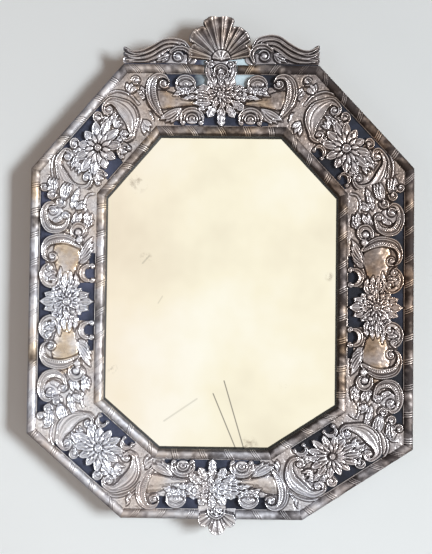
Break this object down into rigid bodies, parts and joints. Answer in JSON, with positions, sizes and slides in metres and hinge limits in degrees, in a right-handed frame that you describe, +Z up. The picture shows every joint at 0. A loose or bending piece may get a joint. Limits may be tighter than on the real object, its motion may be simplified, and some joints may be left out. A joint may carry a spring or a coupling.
{
  "type": "wall mirror",
  "caption": "Octagonal wall mirror with a pine frame faced in pierced repoussé tin over blue velvet, half-round tin mouldings, a shell crest, a drop leaf and a hanging ring.",
  "frame": {"origin": "middle of the octagon (without the crest and the drop leaf) on the rear face of the backboard, which rests on the wall", "axes": "+X to the right seen from the front, +Z up, +Y into the wall; the viewer is on the -Y side"},
  "size_m": [0.5676, 0.0365, 0.761],
  "materials": {
    "repousse_tin": "hand-worked tin sheet with worn bright relief and brown tarnish in the hollows",
    "moulding_tin": "rolled half-round tin with embossed ribbon bands, soft worn shine",
    "blue_velvet": "dark blue cotton velvet, short pile, slightly faded",
    "mirror": "old silvered glass, clear with a faint warm cast",
    "pine": "planed pine, unfinished and aged",
    "backboard_pine": "thin rough-sawn pine board, aged brown",
    "packing_board": "plain pasteboard",
    "nail_iron": "cut iron, dull and lightly rusted",
    "ring_iron": "forged iron, dark"
  },
  "bodies": {
    "frame": {"backboard": "backboard_pine", "backboard_nails": "nail_iron", "bottom_panel": "repousse_tin", "bottom_rail": "pine", "corner_keys": "pine", "crest_board": "pine", "crest_leaf_left": "repousse_tin", "crest_leaf_right": "repousse_tin", "crest_shell": "repousse_tin", "drop_board": "pine", "drop_leaf": "repousse_tin", "edging_pins": "nail_iron", "inner_moulding_bottom": "moulding_tin", "inner_moulding_left": "moulding_tin", "inner_moulding_lower_left": "moulding_tin", "inner_moulding_lower_right": "moulding_tin", "inner_moulding_right": "moulding_tin", "inner_moulding_top": "moulding_tin", "inner_moulding_upper_left": "moulding_tin", "inner_moulding_upper_right": "moulding_tin", "left_panel": "repousse_tin", "left_stile": "pine", "lower_left_panel": "repousse_tin", "lower_left_rail": "pine", "lower_right_panel": "repousse_tin", "lower_right_rail": "pine", "mirror_plate": "mirror", "outer_moulding_bottom_left": "moulding_tin", "outer_moulding_bottom_right": "moulding_tin", "outer_moulding_left": "moulding_tin", "outer_moulding_lower_left": "moulding_tin", "outer_moulding_lower_right": "moulding_tin", "outer_moulding_right": "moulding_tin", "outer_moulding_top_left": "moulding_tin", "outer_moulding_top_right": "moulding_tin", "outer_moulding_upper_left": "moulding_tin", "outer_moulding_upper_right": "moulding_tin", "packing_board": "packing_board", "right_panel": "repousse_tin", "right_stile": "pine", "ring_staple": "ring_iron", "top_panel": "repousse_tin", "top_rail": "pine", "upper_left_panel": "repousse_tin", "upper_left_rail": "pine", "upper_right_panel": "repousse_tin", "upper_right_rail": "pine", "velvet_ground": "blue_velvet"},
    "ring": {"hanging_ring": "ring_iron"}
  },
  "joints": [
    {"name": "ring_swing", "type": "hinge", "parent": "frame", "child": "ring", "pos_m": [0, -0.004, 0.3], "axis": [1, 0, 0], "range_deg": [0, 178]}
  ]
}
